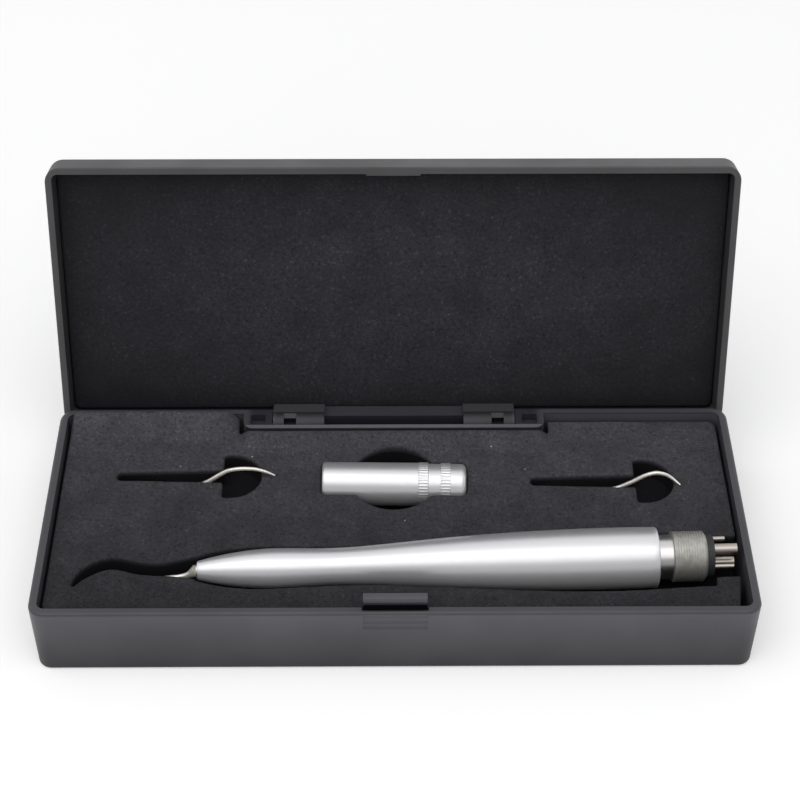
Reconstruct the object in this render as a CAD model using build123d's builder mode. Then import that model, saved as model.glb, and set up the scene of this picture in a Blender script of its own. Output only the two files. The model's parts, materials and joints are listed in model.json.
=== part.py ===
"""Air-driven dental scaler in its hinged storage case, with two spare tips and a torque wrench.

Millimetres, +Z up.  The origin is the middle of the case's underside, +X runs along the
handpiece towards its hose end, +Y runs from the snap catch to the hinge.  The lid stands
open, as the case is used, and every other piece lies seated in the foam.
"""
import os
from math import atan, cos, degrees, radians, sin, sqrt

from build123d import *

# ---- case: outer sizes and walls ------------------------------------------------------
case_depth = 83.0
base_height = 23.0
lid_height = 9.6
corner_radius = 4.6
lid_inner_corner = 1.8
base_draft = 0.65
lid_draft = 0.35
tip_room = 44.9
hose_room = 4.3
base_wall = 2.4
base_floor = 2.0
lid_wall = 2.0
lid_panel = 1.8
base_edge_round = 1.0
lid_edge_round = 2.0
rim_round = 1.0
lid_rim_round = 0.5
lid_gap = 0.3

# ---- hinge ----------------------------------------------------------------------------
open_angle = 105.0
hinge_inset = 2.6
hinge_drop = 4.3
knuckle_radius = 4.5
knuckle_gap = 0.25
lug_inner = 20.9
lug_outer = 36.2
lug_notch_inner = 29.3
lug_notch_outer = 33.0
lug_notch_top = (4.35, 1.15)
lug_notch_ledge = (3.3, 2.3)
lug_notch_back = 0.3
lug_notch_low = 1.6
lug_face_gap = 0.1
lug_step = 0.3
beam_recess = 1.6
beam_bevel = 1.6
beam_rise = 1.6
beam_front = 1.5
ear_gap = 0.2
ear_width = 8.5
ear_end_wall = 1.2
ear_corner = 2.8
ear_foam_gap = 1.3
hinge_box_wall = 1.4
ear_pocket_length = 4.5
ear_pocket_width = 4.2
ear_pocket_depth = 2.4
ear_pocket_corner = 0.6
ear_pocket_edge = 0.2
pin_radius = 1.0
pin_length = 13.0
pin_reach = 2.4
pin_clearance = 0.05

# ---- snap catch -----------------------------------------------------------------------
tab_width = 17.5
tab_thickness = 1.3
tab_setback = 0.7
tab_side_gap = 0.4
tab_rise = 3.5
tab_root = 11.0
tab_slot = 1.7
tab_slot_depth = 8.0
lip_reach = 0.5
lip_height = 1.8
lip_bevel = 0.4
catch_clearance = 0.05
catch_height = 0.8
grip_groove_top = 1.1
grip_groove_radius = 1.4
grip_groove_depth = 0.25
grip_groove_pitch = 2.3
grip_groove_count = 3

# ---- foam -----------------------------------------------------------------------------
foam_recess = 2.5
foam_gap = 0.4
foam_short_corner = 2.2
foam_corner = 2.5
lid_foam_thickness = 1.9
lid_foam_gap = 0.2
seat_gap = 0.25

# ---- handpiece ------------------------------------------------------------------------
handpiece_inset = 19.4
handpiece_yaw = 2.0
handpiece_sink = 0.9
sleeve_length = 128.6
nose_radius = 2.65
bulge_radius = 5.65
waist_radius = 5.3
grip_radius = 8.7
tail_radius = 8.55
nose_swell = 0.65
bulge_at = 21.5
waist_at = 33.5
grip_setback = 12.6
flare_radius = 6.7
flare_at = 62.0
skin_steps = 16
sleeve_edge = 0.5
nose_bore = 2.0
front_bore = 3.4
middle_bore = 4.8
rear_bore = 6.6
front_bore_at = 9.0
middle_bore_at = 42.0
rear_bore_at = 74.0
neck_radius = 6.3
neck_length = 4.1
thread_radius = 7.15
thread_core_radius = 6.0
thread_length = 9.5
thread_chamfer = 0.8
gasket_radius = 6.1
gasket_thickness = 2.0
large_tube_radius = 1.6
large_tube_bore = 1.15
small_tube_radius = 0.7
small_tube_bore = 0.45
large_tube_offset = 3.2
small_tube_side = 4.6
small_tube_up = 1.6
tube_turn = 10.0
large_tube_stand = 6.6
small_tube_stand = 4.0
chip_tube_stand = 5.4
tube_inset = 6.0

# ---- vibrating drive inside the handpiece ---------------------------------------------
shaft_radius = 2.6
shaft_neck_radius = 1.85
shaft_neck_end = 9.5
collar_width = 1.4
collar_rise = 0.7
shaft_bore = 1.0
shaft_end = 68.0
rotor_at = 50.0
rotor_length = 11.0
rotor_radius = 3.7
rotor_clearance = 0.08
rotor_edge = 0.3
bush_wall = 0.9
bush_margin = 1.0
damper_width = 1.6
front_damper_at = 13.0
rear_damper_at = 36.0
nut_length = 4.0
nut_radius = 3.8
manifold_spigot = 3.0
manifold_flange = 3.0
connector_plug = 26.0
water_line_radius = 0.7
line_lead = 6.0
shaft_entry = 6.0
jet_radius = 0.5
jet_count = 4
tip_seat = -0.3
seal_width = 1.6
seal_depth = 0.8
seal_setback = 2.5

# ---- tips -----------------------------------------------------------------------------
blade_sections = 11
blade_overlap = 0.4
tip_root_radius = 0.8
tip_point_radius = 0.28
tip_stud = 4.0
tip_cone = 1.0
spare_root_radius = 1.0
spare_hub_radius = 1.55
spare_hub_length = 5.5
spare_flat = 1.2
spare_flat_margin = 1.0

# ---- torque wrench --------------------------------------------------------------------
wrench_x = 0.0
wrench_inset = 27.6
wrench_yaw = -1.0
wrench_sink = 2.7
wrench_length = 42.0
wrench_radius = 6.35
knob_length = 11.1
wrench_mouth = 4.2
wrench_bore = 4.6
wrench_edge = 0.8
knurl_width = 2.9
knurl_rise = 0.15
knurl_depth = 0.3
knurl_count = 40
knob_radius = 6.1
knob_neck = 3.6
knob_plug = 4.5
knob_chamfer = 1.2
bearing_length = 10.0
clutch_length = 11.0
drive_setback = 0.5
drive_flange = 1.6
drive_stub_radius = 1.5
stub_reach = 3.0
stub_gap = 0.3
drive_radius = 3.4
socket_flats = 3.6
socket_depth = 9.0
friction_thickness = 0.8
spring_thickness = 0.5
spring_count = 3
ring_gap = 0.1
running_gap = 0.06

# ---- foam cut-outs --------------------------------------------------------------------
finger_hole_radius = 12.8
wrench_channel_gap = 0.5
wrench_end_gap = 0.3
wrench_channel_corner = 2.0
ring_room = 1.0
ring_front_room = 4.7
tube_back_room = 6.8
tube_front_room = 8.6
tip_hole_radius = 9.0
tip_hole_flat = 2.3
left_hole_inset = 52.3
left_hole_back = 26.4
right_hole_inset = 27.5
right_hole_back = 29.0
slot_width = 5.4
slot_end_width = 3.3
slot_corner = 1.3
left_slot_length = 33.3
right_slot_length = 32.9
left_tip_back = 20.3
right_tip_back = 26.5
# blades of the spare tips from the hub's face: (along, up, forward)
left_blade = [
    (4.0, 0.4, 0),
    (8.0, 2.7, 0),
    (11.5, 5.5, 0),
    (14.4, 7.5, 0),
    (17.5, 8.1, 0),
    (22.5, 7.9, 0),
    (25.3, 7.2, 0.3),
    (28.0, 6.2, 0.8),
]
right_blade = [
    (7.0, 0.2, 0),
    (13.7, 2.1, 0),
    (17.9, 4.5, 0),
    (22.4, 7.6, 0),
    (25.6, 8.6, 0),
    (28.1, 8.4, 0.2),
    (30.0, 7.6, 0.6),
    (31.8, 6.7, 1.5),
    (33.1, 6.2, 2.7),
]
# blade of the fitted tip from the nose to its point: (along, up, forward)
fitted_blade = [
    (-2.7, -1.7, 0),
    (-5.0, -2.4, 0),
    (-10.5, -2.5, 0),
    (-17.5, -3.0, -1.2),
    (-23.8, -3.4, -2.8),
    (-29.0, -3.4, -1.4),
    (-32.2, -3.4, 1.5),
]
slit_width = 0.5
slit_length = 10.0
slit_offset = (12.6, -1.4)
slit_turn = -17.0
spare_depth = 5.5
front_share = 1.45
back_share = 1.36
channel_step = 40.0
# middle line of the fitted tip's slot from its point to the nose: (along, back, half width)
tip_slot = [
    (-34.5, -5.4, 0.3),
    (-32.6, -1.9, 1.3),
    (-29.0, 1.4, 2.0),
    (-23.8, 3.1, 2.2),
    (-17.5, 1.4, 2.2),
    (-10.5, 0.4, 2.4),
    (-4.4, 0.7, 3.4),
    (0.5, 0.4, 4.5),
]

# a cut runs this far past the face that it opens
over = 1.0

os.makedirs("parts", exist_ok=True)

# ---- sizes that follow ----------------------------------------------------------------
body_end = sleeve_length + neck_length + thread_length + gasket_thickness
case_length = tip_room + body_end + large_tube_stand + hose_room
handpiece_x = tip_room - case_length / 2
handpiece_y = handpiece_inset - case_depth / 2
grip_at = sleeve_length - grip_setback
wrench_y = case_depth / 2 - wrench_inset
wrench_split = wrench_length - knob_length
left_hole = (left_hole_inset - case_length / 2, case_depth / 2 - left_hole_back)
right_hole = (case_length / 2 - right_hole_inset, case_depth / 2 - right_hole_back)
back_face = case_depth / 2
front_face = -case_depth / 2
rim_z = base_height
foam_top = rim_z - foam_recess
hinge_y = back_face - hinge_inset
hinge_z = rim_z - hinge_drop
lid_rim_z = rim_z + lid_gap
lid_top_z = lid_rim_z + lid_height
ear_inner = lug_outer + ear_gap
ear_outer = ear_inner + ear_width
base_taper = degrees(atan(base_draft / base_height))
lid_taper = degrees(atan(lid_draft / lid_height))
pin_inner = lug_outer + pin_reach - pin_length
box_front = hinge_y - knuckle_radius - knuckle_gap
box_floor = hinge_z - knuckle_radius - knuckle_gap
handpiece_z = foam_top - handpiece_sink
wrench_z = foam_top - wrench_sink
channel_floor = handpiece_z - grip_radius - seat_gap
nose_floor = handpiece_z - bulge_radius - seat_gap
wrench_floor = wrench_z - wrench_radius - knurl_rise - seat_gap


def keep(piece, name):
    """Label a finished piece and write its STEP file."""
    piece.part.label = name
    export_step(piece.part, f"parts/{name}.step")


# ---- frames ---------------------------------------------------------------------------
lid_turn = radians(open_angle)
hinge_frame = Plane(
    origin=(0, hinge_y, hinge_z), x_dir=(1, 0, 0), z_dir=(0, sin(lid_turn), cos(lid_turn))
)
lug_frame = Plane(
    origin=(0, hinge_y, hinge_z), x_dir=hinge_frame.y_dir, z_dir=(1, 0, 0)
)


def lid_plane(z):
    """The plane that lies at height z when the lid is shut, where the open lid carries it."""
    origin = hinge_frame.from_local_coords(Vector(0, -hinge_y, z - hinge_z))
    return Plane(origin=origin, x_dir=(1, 0, 0), z_dir=hinge_frame.z_dir)


def axis_frame(x, y, z, yaw):
    """A plane through a lying axis: local X runs along it and local Y points up."""
    turn = radians(yaw)
    along = (cos(turn), sin(turn), 0)
    return Plane(origin=(x, y, z), x_dir=along, z_dir=(sin(turn), -cos(turn), 0))


def across(frame, u):
    """The plane square to a lying axis at distance u: local X points back, local Y up."""
    return Plane(
        origin=frame.from_local_coords(Vector(u, 0, 0)), x_dir=-frame.z_dir, z_dir=frame.x_dir
    )


def spin_axis(frame):
    """The lying axis itself."""
    return Axis(frame.origin, frame.x_dir)


handpiece = axis_frame(handpiece_x, handpiece_y, handpiece_z, handpiece_yaw)
wrench_turn = radians(wrench_yaw)
wrench = axis_frame(
    wrench_x - wrench_length / 2 * cos(wrench_turn),
    wrench_y - wrench_length / 2 * sin(wrench_turn),
    wrench_z,
    wrench_yaw,
)


# ---- shared shapes --------------------------------------------------------------------
def drafted_block(rim, depth_in, length, width, radius, taper, mode=Mode.ADD):
    """A rounded block that narrows by the draft angle as it leaves the rim's plane."""
    with BuildSketch(rim) as outline:
        RectangleRounded(length, width, radius)
    extrude(outline.sketch, amount=depth_in, taper=taper, mode=mode)


def tube(frame, start, end, outer, inner=0.0, mode=Mode.ADD):
    """A round bar or tube along a lying axis from start to end."""
    with BuildSketch(across(frame, start)) as section:
        Circle(outer)
        if inner:
            Circle(inner, mode=Mode.SUBTRACT)
    extrude(section.sketch, amount=end - start, mode=mode)


def turned(frame, points, mode=Mode.ADD):
    """A piece turned about a lying axis from its half outline (distance, radius)."""
    with BuildSketch(frame) as half:
        with BuildLine():
            Polyline(*points, close=True)
        make_face()
    revolve(half.sketch, axis=spin_axis(frame), mode=mode)


def block(x, y, z, mode=Mode.ADD):
    """An upright box given by its ranges along X, Y and Z."""
    with BuildSketch(Plane.XY.offset(z[0])) as base:
        with Locations(((x[0] + x[1]) / 2, (y[0] + y[1]) / 2)):
            Rectangle(x[1] - x[0], y[1] - y[0])
    extrude(base.sketch, amount=z[1] - z[0], mode=mode)


def knurl(frame, start, outer):
    """Cut straight knurling, a ring of V grooves, into a band of a turned piece."""
    with BuildSketch(across(frame, start)) as grooves:
        with PolarLocations(outer, knurl_count):
            RegularPolygon(knurl_depth, 4)
    extrude(grooves.sketch, amount=knurl_width, mode=Mode.SUBTRACT)


def end_rim(piece, frame, end):
    """The widest round edge at the near (0) or far (-1) end of a turned piece."""
    rounds = piece.edges().filter_by(GeomType.CIRCLE).group_by(spin_axis(frame))[end]
    return rounds.sort_by(SortBy.RADIUS)[-1]


def tapered_blade(points, root, point):
    """A curved tip blade, round in section, that tapers evenly along its path."""
    with BuildLine() as path:
        spine = Spline(*points)
    sections = []
    for i in range(blade_sections):
        t = i / (blade_sections - 1)
        with BuildSketch(Plane(origin=spine @ t, z_dir=spine % t)) as section:
            Circle(root + (point - root) * t)
        sections.append(section.sketch)
    loft(sections, ruled=True)


# ---- case base ------------------------------------------------------------------------
with BuildPart() as case_base:
    rim_plane = Plane.XY.offset(base_height)
    drafted_block(rim_plane, -base_height, case_length, case_depth, corner_radius, base_taper)
    fillet(case_base.edges().group_by(Axis.Z)[0], base_edge_round)
    fillet(case_base.edges().group_by(Axis.Z)[-1], rim_round)
    # the hollow follows the drafted outside, one wall in
    drafted_block(
        rim_plane,
        base_floor - base_height,
        case_length - 2 * base_wall,
        case_depth - 2 * base_wall,
        corner_radius - base_wall,
        base_taper,
        Mode.SUBTRACT,
    )
    # hinge box: a solid block inside the back wall, then hollowed and opened to the back
    box_back = back_face - base_wall / 2 - base_draft
    box_outer = box_front - hinge_box_wall
    with BuildSketch(rim_plane):
        with BuildLine():
            FilletPolyline(
                (-ear_outer, box_back),
                (-ear_outer, box_outer),
                (ear_outer, box_outer),
                (ear_outer, box_back),
                radius=ear_corner,
            )
            Line((ear_outer, box_back), (-ear_outer, box_back))
        make_face()
    extrude(amount=box_floor - hinge_box_wall - rim_z)
    block(
        (-ear_inner, ear_inner),
        (box_front, back_face + over),
        (box_floor, rim_z + over),
        Mode.SUBTRACT,
    )
    for side in (-1, 1):
        middle = side * (ear_inner + ear_width / 2)
        with BuildSketch(Plane.XY.offset(rim_z)):
            with Locations((middle, box_front + ear_pocket_width / 2 + ear_pocket_edge)):
                RectangleRounded(ear_pocket_length, ear_pocket_width, ear_pocket_corner)
        extrude(amount=-ear_pocket_depth, mode=Mode.SUBTRACT)
    # bores for the two hinge pins
    with BuildSketch(Plane.YZ.offset(ear_end_wall - ear_outer)):
        with Locations((hinge_y, hinge_z)):
            Circle(pin_radius + pin_clearance)
    extrude(amount=2 * (ear_outer - ear_end_wall), mode=Mode.SUBTRACT)
    # snap tab: a tongue behind the front rim, rooted on a bridge to the wall
    tab_front = front_face + base_wall + tab_setback
    tab_back = tab_front + tab_thickness
    block(
        (-tab_width / 2, tab_width / 2),
        (front_face + base_wall / 2, tab_back),
        (tab_root, rim_z - tab_slot_depth),
    )
    block(
        (-tab_width / 2 - tab_side_gap, tab_width / 2 + tab_side_gap),
        (tab_front - tab_slot, tab_front),
        (rim_z - tab_slot_depth, rim_z + over),
        Mode.SUBTRACT,
    )
    with BuildSketch(Plane.YZ.offset(-tab_width / 2)):
        with BuildLine():
            tab_top = rim_z + tab_rise
            Polyline(
                (tab_front, rim_z - tab_slot_depth - over),
                (tab_front, tab_top - lip_height - lip_reach),
                (tab_front - lip_reach, tab_top - lip_height),
                (tab_front - lip_reach, tab_top - lip_bevel),
                (tab_front - lip_reach + lip_bevel, tab_top),
                (tab_back, tab_top),
                (tab_back, rim_z - tab_slot_depth - over),
                close=True,
            )
        make_face()
    extrude(amount=tab_width)
    # finger grip below the tab: shallow round flutes in the drafted front
    flute_out = grip_groove_radius - grip_groove_depth
    for i in range(grip_groove_count):
        flute_down = grip_groove_top + i * grip_groove_pitch
        flute_y = front_face + flute_down * base_draft / base_height - flute_out
        with BuildSketch(Plane.YZ.offset(-tab_width / 2)):
            with Locations((flute_y, rim_z - flute_down)):
                Circle(grip_groove_radius)
        extrude(amount=tab_width, mode=Mode.SUBTRACT)
keep(case_base, "case_base")

# ---- case lid, built on its open planes -----------------------------------------------
with BuildPart() as case_lid:
    drafted_block(
        lid_plane(lid_rim_z), lid_height, case_length, case_depth, corner_radius, lid_taper
    )
    lid_up = Axis(hinge_frame.origin, hinge_frame.z_dir)
    fillet(case_lid.edges().group_by(lid_up)[-1], lid_edge_round)
    fillet(case_lid.edges().group_by(lid_up)[0], lid_rim_round)
    drafted_block(
        lid_plane(lid_rim_z),
        lid_height - lid_panel,
        case_length - 2 * lid_wall,
        case_depth - 2 * lid_wall,
        lid_inner_corner,
        lid_taper,
        Mode.SUBTRACT,
    )
    # hinge beam: rounded about the pin, flush with the back of the shut case
    lug_face = hinge_inset - lug_face_gap
    lug_low = -sqrt(knuckle_radius**2 - lug_face**2)
    rim_rise = lid_rim_z - hinge_z
    with BuildSketch(lug_frame):
        with BuildLine():
            Polyline(
                (-knuckle_radius, 0),
                (-knuckle_radius, rim_rise + beam_rise - beam_bevel),
                (-knuckle_radius + beam_bevel, rim_rise + beam_rise),
                (hinge_inset - lid_wall / 2, rim_rise + beam_rise),
                (lug_face, rim_rise + lug_step),
                (lug_face, lug_low),
            )
            ThreePointArc((lug_face, lug_low), (0, -knuckle_radius), (-knuckle_radius, 0))
        make_face()
    extrude(amount=lug_outer, both=True)
    # the middle of the beam lies deeper and stops short of the box's front wall
    with BuildSketch(lug_frame):
        with Locations((-knuckle_radius, 0)):
            Rectangle(2 * beam_recess, 3 * knuckle_radius)
        with Locations((0, -beam_front - knuckle_radius)):
            Rectangle(3 * knuckle_radius, 2 * knuckle_radius)
    extrude(amount=lug_inner, both=True, mode=Mode.SUBTRACT)
    # a notch splits the front of each lug into two knuckles
    notch_floor = -knuckle_radius - over
    for side in (-1, 1):
        near, far = sorted((side * lug_notch_inner, side * lug_notch_outer))
        notch_plane = Plane(
            origin=(near, hinge_y, hinge_z), x_dir=lug_frame.x_dir, z_dir=(1, 0, 0)
        )
        with BuildSketch(notch_plane):
            with BuildLine():
                Polyline(
                    (-lug_notch_top[0], -lug_notch_top[1]),
                    (-lug_notch_ledge[0], -lug_notch_ledge[1]),
                    (-lug_notch_ledge[0], -lug_notch_back),
                    (-lug_notch_low, -lug_notch_back),
                    (-lug_notch_low, notch_floor),
                    (-lug_notch_top[0], notch_floor),
                    close=True,
                )
            make_face()
        extrude(amount=far - near, mode=Mode.SUBTRACT)
    # pin seats in the lugs
    for side in (-1, 1):
        near, far = sorted((side * pin_inner, side * (lug_outer + over)))
        with BuildSketch(Plane.YZ.offset(near)):
            with Locations((hinge_y, hinge_z)):
                Circle(pin_radius)
        extrude(amount=far - near, mode=Mode.SUBTRACT)
    # catch ridge that snaps under the lip of the tab
    catch_reach = tab_front - lip_reach - catch_clearance - (front_face + lid_wall)
    catch_z = rim_z + tab_rise - lip_height - lip_reach - catch_height
    with BuildSketch(lid_plane(catch_z)):
        with Locations((0, front_face + lid_wall / 2 + catch_reach / 2)):
            Rectangle(tab_width - 2, lid_wall + catch_reach)
    extrude(amount=catch_height)
keep(case_lid, "case_lid")

for side, name in ((-1, "hinge_pin_left"), (1, "hinge_pin_right")):
    near, far = sorted((side * pin_inner, side * (pin_inner + pin_length)))
    with BuildPart() as hinge_pin:
        with BuildSketch(Plane.YZ.offset(near)):
            with Locations((hinge_y, hinge_z)):
                Circle(pin_radius)
        extrude(amount=far - near)
    keep(hinge_pin, name)

# ---- foam lining of the lid -----------------------------------------------------------
with BuildPart() as lid_foam:
    with BuildSketch(lid_plane(lid_top_z - lid_panel)):
        RectangleRounded(
            case_length - 2 * (lid_wall + lid_draft + lid_foam_gap),
            case_depth - 2 * (lid_wall + lid_draft + lid_foam_gap),
            lid_inner_corner,
        )
    extrude(amount=-lid_foam_thickness)
keep(lid_foam, "lid_foam")

# ---- foam insert of the base, with its contoured cut-outs ------------------------------
foam_inset = base_wall + base_draft * (1 - base_floor / base_height) + foam_gap
foam_left = foam_inset - case_length / 2
foam_right = case_length / 2 - foam_inset
foam_front = front_face + foam_inset
foam_back = back_face - foam_inset


def beside(path, side):
    """The points that lie half a width to one side of a path of (u, v, half width)."""
    points = []
    for i, (u, v, half) in enumerate(path):
        before = path[max(i - 1, 0)]
        after = path[min(i + 1, len(path) - 1)]
        du, dv = after[0] - before[0], after[1] - before[1]
        length = sqrt(du * du + dv * dv)
        points.append((u - side * half * dv / length, v + side * half * du / length))
    return points


channel = Plane(
    origin=(handpiece_x, handpiece_y, nose_floor), x_dir=handpiece.x_dir, z_dir=(0, 0, 1)
)
deep_channel = channel.offset(channel_floor - nose_floor)
channel_end = body_end + large_tube_stand + 2 * hose_room
back_edge = [
    (-0.5, 4.9),
    (bulge_at * 0.55, back_share * bulge_radius),
    (waist_at, back_share * waist_radius),
    (grip_at * 0.62, back_share * flare_radius),
    (grip_at * 0.85, back_share * grip_radius - 0.6),
    (sleeve_length, grip_radius + seat_gap),
]
front_edge = [
    (-0.5, -4.2),
    (bulge_at * 0.55, -front_share * bulge_radius + 0.6),
    (waist_at, -front_share * waist_radius),
    (grip_at * 0.62, -front_share * flare_radius),
    (grip_at * 0.95, -front_share * grip_radius),
    (sleeve_length, -front_share * tail_radius),
]


def channel_outline():
    """The plan outline of the handpiece channel, open at the hose end, in the current sketch."""
    with BuildLine() as outline:
        back = Spline(*back_edge)
        front = Spline(*front_edge)
        Line(back @ 0, front @ 0)
        Polyline(
            back @ 1,
            (body_end, thread_radius + ring_room),
            (body_end, tube_back_room),
            (channel_end, tube_back_room),
            (channel_end, -tube_front_room),
            (body_end, -tube_front_room),
            (body_end, -thread_radius - ring_front_room),
            front @ 1,
        )
    make_face(outline.edges())


def tip_cut(hole, slot_length, floor):
    """A D-shaped finger hole with the slot of a spare tip, which widens towards its flat side."""
    slot_end = hole[0] - slot_length
    with BuildSketch(Plane.XY.offset(floor)) as outline:
        with Locations(hole):
            Circle(tip_hole_radius)
        with Locations((hole[0] - tip_hole_flat - tip_hole_radius, hole[1])):
            Rectangle(2 * tip_hole_radius, 2 * tip_hole_radius, mode=Mode.SUBTRACT)
        with BuildLine():
            FilletPolyline(
                (hole[0], hole[1] + slot_width / 2),
                (slot_end, hole[1] + slot_end_width / 2),
                (slot_end, hole[1] - slot_end_width / 2),
                (hole[0], hole[1] - slot_width / 2),
                radius=slot_corner,
            )
            Line((hole[0], hole[1] - slot_width / 2), (hole[0], hole[1] + slot_width / 2))
        make_face()
    extrude(outline.sketch, amount=rim_z - floor, mode=Mode.SUBTRACT)


spare_floor = foam_top - spare_depth - spare_hub_radius - seat_gap
with BuildPart() as base_foam:
    with BuildSketch(Plane.XY.offset(base_floor)) as insert:
        with BuildLine():
            Polyline(
                (foam_left, foam_back),
                (foam_left, foam_front),
                (foam_right - foam_short_corner, foam_front),
                (foam_right, handpiece_y),
                (foam_right, foam_back),
                close=True,
            )
        make_face()
        fillet(insert.vertices(), foam_corner)
    extrude(amount=foam_top - base_floor)
    # slot of the fitted tip, an S that runs out of the nose
    with BuildSketch(channel):
        with BuildLine():
            slot_back = Spline(*beside(tip_slot, 1))
            slot_front = Spline(*beside(tip_slot, -1))
            Line(slot_back @ 0, slot_front @ 0)
            Line(slot_back @ 1, slot_front @ 1)
        make_face()
    extrude(amount=rim_z - nose_floor, mode=Mode.SUBTRACT)
    # channel of the handpiece: shallow under the nose, deeper under the grip
    with BuildSketch(channel):
        channel_outline()
    extrude(amount=rim_z - nose_floor, mode=Mode.SUBTRACT)
    with BuildSketch(deep_channel):
        channel_outline()
        with Locations((channel_step - sleeve_length, 0)):
            Rectangle(2 * sleeve_length, 2 * case_depth, mode=Mode.SUBTRACT)
    extrude(amount=rim_z - channel_floor, mode=Mode.SUBTRACT)
    # channel of the wrench, crossed by a round hole for the fingers
    with BuildSketch(Plane.XY.offset(wrench_floor)):
        with Locations((wrench_x, wrench_y)):
            RectangleRounded(
                wrench_length + 2 * wrench_end_gap,
                2 * (wrench_radius + wrench_channel_gap),
                wrench_channel_corner,
                rotation=wrench_yaw,
            )
            Circle(finger_hole_radius)
    extrude(amount=rim_z - wrench_floor, mode=Mode.SUBTRACT)
    # slots of the two spare tips
    tip_cut(left_hole, left_slot_length, spare_floor)
    tip_cut(right_hole, right_slot_length, spare_floor)
    with BuildSketch(Plane.XY.offset(spare_floor)):
        slit_spot = (right_hole[0] + slit_offset[0], right_hole[1] + slit_offset[1])
        with Locations(Location(slit_spot, slit_turn)):
            SlotOverall(slit_length, slit_width)
    extrude(amount=rim_z - spare_floor, mode=Mode.SUBTRACT)
    # room for the hinge box and for the snap tab
    block(
        (-ear_outer - ear_foam_gap, ear_outer + ear_foam_gap),
        (box_outer - foam_gap, case_depth),
        (box_floor - hinge_box_wall - foam_gap, rim_z),
        Mode.SUBTRACT,
    )
    block(
        (-tab_width / 2 - foam_gap, tab_width / 2 + foam_gap),
        (-case_depth, tab_back + foam_gap),
        (tab_root - foam_gap, rim_z),
        Mode.SUBTRACT,
    )
keep(base_foam, "base_foam")

# ---- handpiece: sleeve ----------------------------------------------------------------
with BuildPart() as handle_sleeve:
    with BuildSketch(handpiece):
        with BuildLine():
            skin = Spline(
                (0, nose_radius),
                (bulge_at / 2, (nose_radius + bulge_radius) / 2 + nose_swell),
                (bulge_at, bulge_radius),
                (waist_at, waist_radius),
                (flare_at, flare_radius),
                (grip_at, grip_radius),
                (sleeve_length, tail_radius),
                mode=Mode.PRIVATE,
            )
            # the skin is turned as short cones, which keeps its facets few
            turned_skin = [skin @ (i / skin_steps) for i in range(skin_steps + 1)]
            Polyline((0, 0), *turned_skin, (sleeve_length, 0), close=True)
        make_face()
    revolve(axis=spin_axis(handpiece))
    chamfer(end_rim(handle_sleeve, handpiece, -1), sleeve_edge)
    tube(handpiece, -over, front_bore_at + over, nose_bore, mode=Mode.SUBTRACT)
    tube(handpiece, front_bore_at, middle_bore_at + over, front_bore, mode=Mode.SUBTRACT)
    tube(handpiece, middle_bore_at, rear_bore_at + over, middle_bore, mode=Mode.SUBTRACT)
    tube(handpiece, rear_bore_at, sleeve_length + over, rear_bore, mode=Mode.SUBTRACT)
keep(handle_sleeve, "handle_sleeve")

# ---- handpiece: vibrating shaft, rotor ring and what holds them ------------------------
collar_end = rotor_at - running_gap
nut_at = rotor_at + rotor_length + running_gap
with BuildPart() as vibrating_shaft:
    tube(handpiece, tip_seat, shaft_neck_end, shaft_neck_radius)
    tube(handpiece, shaft_neck_end, shaft_end, shaft_radius)
    tube(handpiece, collar_end - collar_width, collar_end, shaft_radius + collar_rise)
    tube(handpiece, tip_seat - over, shaft_end + over, shaft_bore, mode=Mode.SUBTRACT)
keep(vibrating_shaft, "vibrating_shaft")

with BuildPart() as rotor_ring:
    tube(handpiece, rotor_at, rotor_at + rotor_length, rotor_radius, shaft_radius + rotor_clearance)
    chamfer(end_rim(rotor_ring, handpiece, 0), rotor_edge)
    chamfer(end_rim(rotor_ring, handpiece, -1), rotor_edge)
keep(rotor_ring, "rotor_ring")

with BuildPart() as jet_bush:
    bush_start = rotor_at - bush_margin
    bush_end = nut_at + bush_margin
    tube(handpiece, bush_start, bush_end, middle_bore, middle_bore - bush_wall)
    rotor_middle = across(handpiece, rotor_at + rotor_length / 2)
    for i in range(jet_count):
        jet = rotor_middle.rotated((0, 0, 360 / jet_count * i))
        with BuildSketch(Plane(origin=jet.origin, x_dir=jet.z_dir, z_dir=jet.x_dir)):
            Circle(jet_radius)
        extrude(amount=middle_bore + over, mode=Mode.SUBTRACT)
keep(jet_bush, "jet_bush")

for name, at in (("front_damper_ring", front_damper_at), ("rear_damper_ring", rear_damper_at)):
    with BuildPart() as damper_ring:
        tube(handpiece, at, at + damper_width, front_bore, shaft_radius)
    keep(damper_ring, name)

with BuildPart() as shaft_nut:
    with BuildSketch(across(handpiece, nut_at)):
        RegularPolygon(nut_radius, 6)
        Circle(shaft_radius, mode=Mode.SUBTRACT)
    extrude(amount=nut_length)
keep(shaft_nut, "shaft_nut")

# ---- handpiece: air and water supply ---------------------------------------------------
connector_front = sleeve_length - connector_plug
neck_end = sleeve_length + neck_length
thread_end = neck_end + thread_length
tube_angle = radians(tube_turn)


def rolled(side, up):
    """A spot of the hole pattern after the handpiece's roll about its own axis."""
    return (
        side * cos(tube_angle) - up * sin(tube_angle),
        side * sin(tube_angle) + up * cos(tube_angle),
    )


large_spots = [rolled(0, large_tube_offset), rolled(0, -large_tube_offset)]
small_spots = [rolled(small_tube_side, small_tube_up), rolled(-small_tube_side, small_tube_up)]


def passages(start, end, large, small):
    """Cut the four air and water holes through a piece of the hose end."""
    for spots, radius in ((large_spots, large), (small_spots, small)):
        with BuildSketch(across(handpiece, start)) as holes:
            with Locations(*spots):
                Circle(radius)
        extrude(holes.sketch, amount=end - start, mode=Mode.SUBTRACT)


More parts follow.
